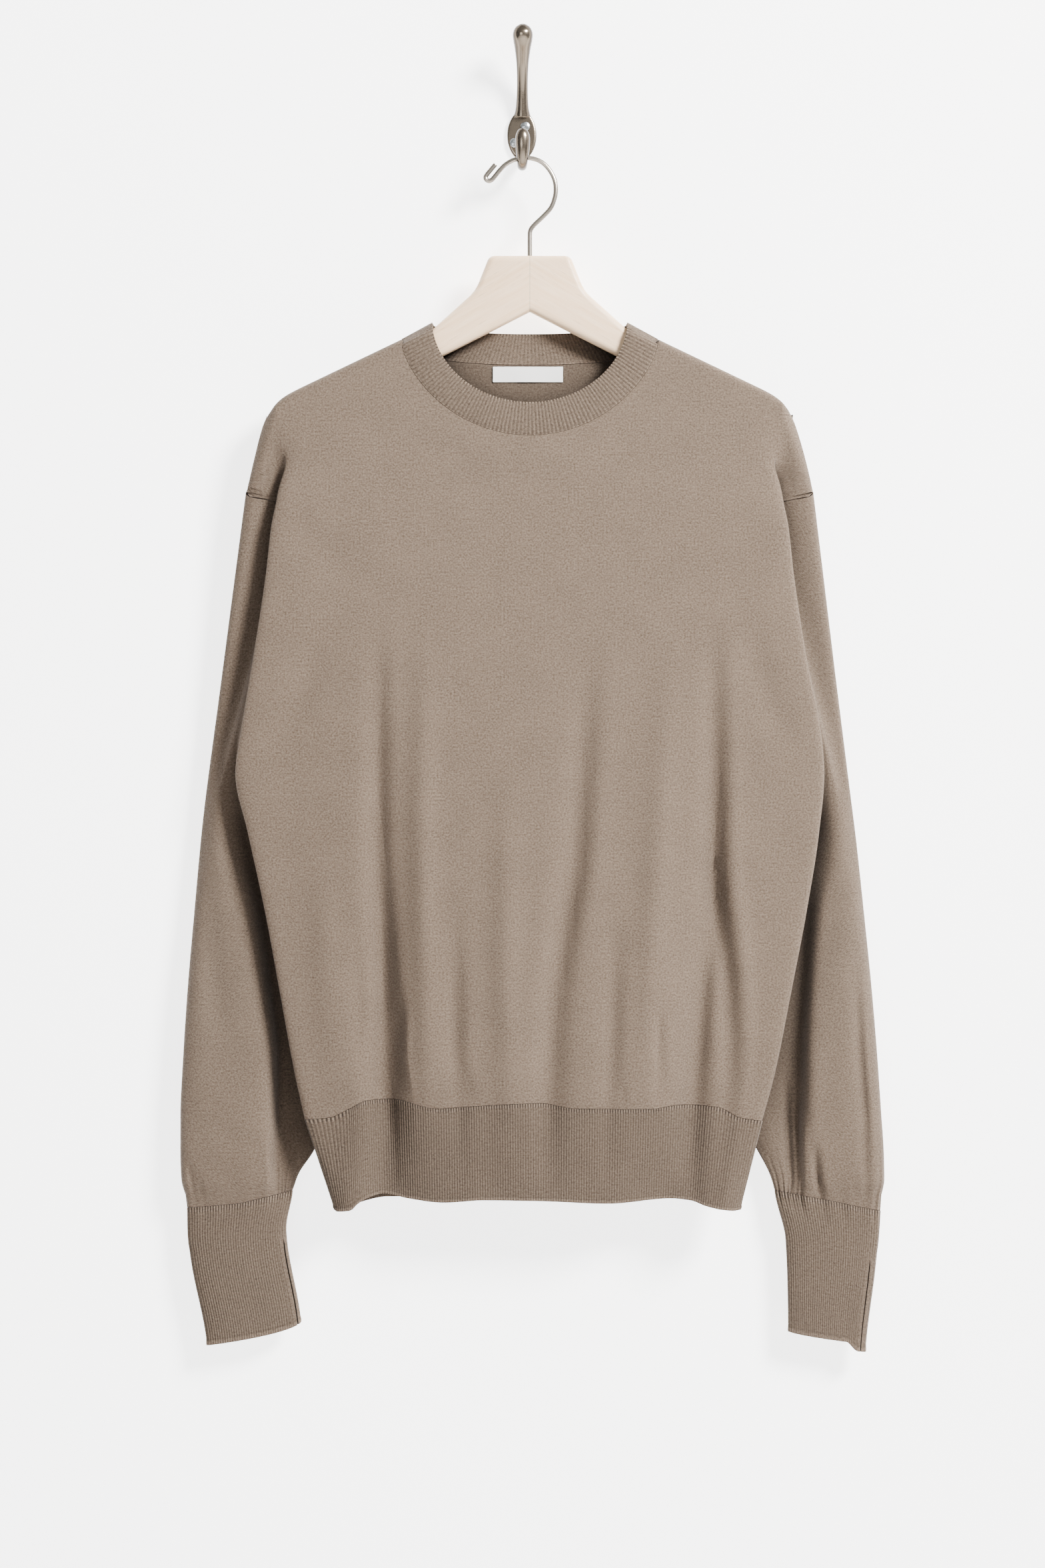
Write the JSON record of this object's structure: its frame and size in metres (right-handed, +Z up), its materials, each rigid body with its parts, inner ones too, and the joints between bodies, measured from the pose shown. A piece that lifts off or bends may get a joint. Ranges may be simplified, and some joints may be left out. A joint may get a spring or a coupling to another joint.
{
  "type": "crewneck sweater on a wooden hanger and wall hook",
  "caption": "Long-sleeved crewneck knit sweater with ribbed neck, cuffs and hem, hung on a flat wooden hanger from a metal wall hook.",
  "frame": {"origin": "centre of the flat back face of the wall hook's plate, on the wall", "axes": "+X to the right as seen from the front, +Y into the wall, +Z up; the sweater's front faces -Y"},
  "size_m": [0.533, 0.0569, 1.0005],
  "materials": {
    "plain_knit": "matt plain knit",
    "rib_knit": "matt ribbed knit",
    "woven_label": "smooth woven",
    "pale_wood": "satin",
    "hanger_wire": "satin",
    "satin_nickel": "satin",
    "zinc_screw": "zinc plated"
  },
  "bodies": {
    "root": {"front": "plain_knit", "back": "plain_knit", "sleeve_left": "plain_knit", "sleeve_right": "plain_knit", "neckband": "rib_knit", "hem_rib": "rib_knit", "cuff_left": "rib_knit", "cuff_right": "rib_knit", "neck_label": "woven_label", "hanger_wood": "pale_wood", "hanger_hook": "hanger_wire", "wall_hook": "satin_nickel", "hook_screw_upper": "zinc_screw", "hook_screw_lower": "zinc_screw"}
  },
  "joints": []
}
